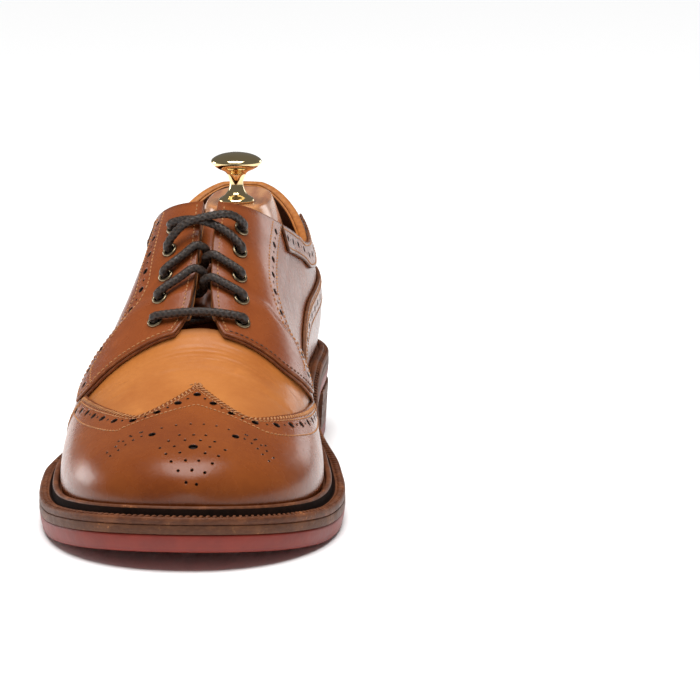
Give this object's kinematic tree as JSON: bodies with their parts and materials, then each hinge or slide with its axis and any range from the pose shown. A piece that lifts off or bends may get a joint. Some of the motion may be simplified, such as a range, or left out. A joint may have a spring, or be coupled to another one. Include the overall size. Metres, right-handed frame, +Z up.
{
  "type": "leather oxford shoe",
  "caption": "Brogued leather lace-up shoe on a storm-welted rubber sole, with a sprung wooden shoe tree that compresses and tilts out.",
  "frame": {"origin": "middle of the shoe's bounding box at the height of the floor it stands on", "axes": "+Y runs from toe to heel along the length, +X points to the inner (medial) side, +Z is up"},
  "size_m": [0.1264, 0.318, 0.132],
  "materials": {
    "upper_leather": "burnished, polished cognac calf",
    "vamp_leather": "polished tan calf, lighter than the cap",
    "lining_leather": "natural tan lining leather, matte",
    "stiffener_board": "stiffened leather board",
    "insole_leather": "veg-tan insole leather",
    "sole_leather": "stacked sole leather, worn brown edge dressing",
    "red_rubber": "brick-red crepe-like rubber, matte",
    "cork": "granulated cork",
    "spring_steel": "tempered steel strip",
    "nail_brass": "plain brass",
    "eyelet_brass": "aged brass, satin",
    "lace_cord": "waxed round braid, near black",
    "varnished_wood": "reddish wood, gloss varnish",
    "polished_brass": "polished, lacquered brass",
    "tree_steel": "turned steel"
  },
  "bodies": {
    "shoe": {"vamp": "vamp_leather", "wing_cap": "upper_leather", "quarter_lateral": "upper_leather", "quarter_medial": "upper_leather", "facing_lateral": "upper_leather", "facing_medial": "upper_leather", "topline_band_lateral": "upper_leather", "topline_band_medial": "upper_leather", "counter_foxing": "upper_leather", "back_strip": "upper_leather", "tongue": "upper_leather", "vamp_lining": "lining_leather", "quarter_lining_lateral": "lining_leather", "quarter_lining_medial": "lining_leather", "sock_liner": "lining_leather", "toe_puff": "stiffener_board", "heel_stiffener": "stiffener_board", "insole": "insole_leather", "midsole": "sole_leather", "storm_welt": "sole_leather", "heel_lift_1": "sole_leather", "heel_lift_2": "sole_leather", "heel_lift_3": "sole_leather", "outsole": "red_rubber", "heel_top_piece": "red_rubber", "cork_filler": "cork", "shank": "spring_steel", "heel_nail_1": "nail_brass", "heel_nail_2": "nail_brass", "heel_nail_3": "nail_brass", "heel_nail_4": "nail_brass", "eyelet_lateral_1": "eyelet_brass", "eyelet_lateral_2": "eyelet_brass", "eyelet_lateral_3": "eyelet_brass", "eyelet_lateral_4": "eyelet_brass", "eyelet_lateral_5": "eyelet_brass", "eyelet_medial_1": "eyelet_brass", "eyelet_medial_2": "eyelet_brass", "eyelet_medial_3": "eyelet_brass", "eyelet_medial_4": "eyelet_brass", "eyelet_medial_5": "eyelet_brass", "lace": "lace_cord", "toe_dowel_1": "polished_brass", "toe_dowel_2": "polished_brass", "tree_yoke": "tree_steel", "hinge_pin": "tree_steel"},
    "spring_rod": {"tree_rod": "tree_steel"},
    "heel_block": {"tree_heel_block": "varnished_wood", "tree_tube": "polished_brass", "tree_knob": "polished_brass", "knob_stud": "tree_steel"},
    "toe_half_medial": {"tree_toe_medial": "varnished_wood"},
    "toe_half_lateral": {"tree_toe_lateral": "varnished_wood"}
  },
  "joints": [
    {"name": "tree_tilt", "type": "hinge", "parent": "shoe", "child": "spring_rod", "pos_m": [0.00413, -0.03098, 0.0496], "axis": [1, 0, 0], "range_deg": [0, 12]},
    {"name": "heel_block_compress", "type": "slide", "parent": "spring_rod", "child": "heel_block", "axis": [0, -0.9654, -0.2607], "range_m": [0, 0.012], "stiffness_N_per_m": 500, "springref_m": -0.02},
    {"name": "toe_medial_squeeze", "type": "slide", "parent": "shoe", "child": "toe_half_medial", "axis": [-1, 0, 0], "range_m": [0, 0.003], "stiffness_N_per_m": 400, "springref_m": -0.008},
    {"name": "toe_lateral_squeeze", "type": "slide", "parent": "shoe", "child": "toe_half_lateral", "axis": [1, 0, 0], "range_m": [0, 0.003], "stiffness_N_per_m": 400, "springref_m": -0.008}
  ]
}
